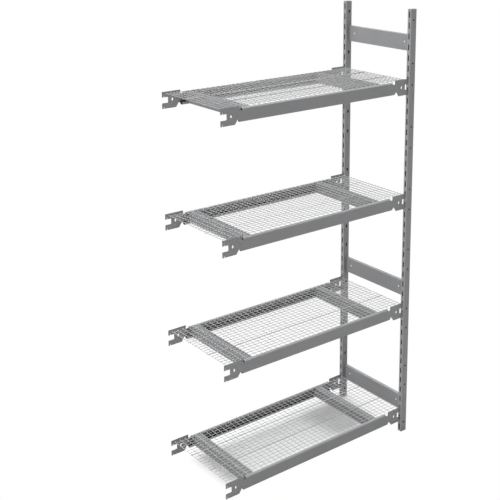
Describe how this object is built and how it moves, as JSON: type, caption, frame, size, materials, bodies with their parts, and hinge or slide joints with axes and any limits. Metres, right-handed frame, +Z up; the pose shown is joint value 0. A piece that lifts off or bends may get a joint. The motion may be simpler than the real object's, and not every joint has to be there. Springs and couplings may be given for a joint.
{
  "type": "boltless steel shelving",
  "caption": "Add-on bay of boltless steel shelving: a slotted end frame with wire-mesh shelves on beams that hook in, their free hooks ready for a neighbouring frame.",
  "frame": {"origin": "on the floor, in the middle of the bay's length and depth", "axes": "+X along the beams, towards the end frame; -Y is the front; +Z is up"},
  "size_m": [1.0836, 0.463, 2.1],
  "materials": {
    "frame_steel": "grey powder coat, satin",
    "brace_steel": "grey powder coat, satin",
    "beam_steel": "grey powder coat, satin",
    "tie_steel": "grey powder coat, satin",
    "deck_wire": "grey coated wire, satin",
    "cap_plastic": "grey moulded plastic, matte"
  },
  "bodies": {
    "end_frame": {"front_upright": "frame_steel", "rear_upright": "frame_steel", "front_top_cap": "cap_plastic", "rear_top_cap": "cap_plastic", "front_foot": "cap_plastic", "rear_foot": "cap_plastic", "lower_brace": "brace_steel", "middle_brace": "brace_steel", "upper_brace": "brace_steel"},
    "level_1": {"level_1_front_beam": "beam_steel", "level_1_rear_beam": "beam_steel", "level_1_left_tie": "tie_steel", "level_1_right_tie": "tie_steel"},
    "deck_1": {"deck_1_cross_wires": "deck_wire", "deck_1_long_wires": "deck_wire", "deck_1_stiffener_wires": "deck_wire"},
    "level_2": {"level_2_front_beam": "beam_steel", "level_2_rear_beam": "beam_steel", "level_2_left_tie": "tie_steel", "level_2_right_tie": "tie_steel"},
    "deck_2": {"deck_2_cross_wires": "deck_wire", "deck_2_long_wires": "deck_wire", "deck_2_stiffener_wires": "deck_wire"},
    "level_3": {"level_3_front_beam": "beam_steel", "level_3_rear_beam": "beam_steel", "level_3_left_tie": "tie_steel", "level_3_right_tie": "tie_steel"},
    "deck_3": {"deck_3_cross_wires": "deck_wire", "deck_3_long_wires": "deck_wire", "deck_3_stiffener_wires": "deck_wire"},
    "level_4": {"level_4_front_beam": "beam_steel", "level_4_rear_beam": "beam_steel", "level_4_left_tie": "tie_steel", "level_4_right_tie": "tie_steel"},
    "deck_4": {"deck_4_cross_wires": "deck_wire", "deck_4_long_wires": "deck_wire", "deck_4_stiffener_wires": "deck_wire"}
  },
  "joints": [
    {"name": "level_1_unhook", "type": "slide", "parent": "end_frame", "child": "level_1", "axis": [0, 0, 1], "range_m": [0, 0.009]},
    {"name": "deck_1_lift", "type": "slide", "parent": "level_1", "child": "deck_1", "axis": [0, 0, 1], "range_m": [0, 0.47]},
    {"name": "level_2_unhook", "type": "slide", "parent": "end_frame", "child": "level_2", "axis": [0, 0, 1], "range_m": [0, 0.009]},
    {"name": "deck_2_lift", "type": "slide", "parent": "level_2", "child": "deck_2", "axis": [0, 0, 1], "range_m": [0, 0.47]},
    {"name": "level_3_unhook", "type": "slide", "parent": "end_frame", "child": "level_3", "axis": [0, 0, 1], "range_m": [0, 0.009]},
    {"name": "deck_3_lift", "type": "slide", "parent": "level_3", "child": "deck_3", "axis": [0, 0, 1], "range_m": [0, 0.47]},
    {"name": "level_4_unhook", "type": "slide", "parent": "end_frame", "child": "level_4", "axis": [0, 0, 1], "range_m": [0, 0.009]},
    {"name": "deck_4_lift", "type": "slide", "parent": "level_4", "child": "deck_4", "axis": [0, 0, 1], "range_m": [0, 0.34]}
  ]
}
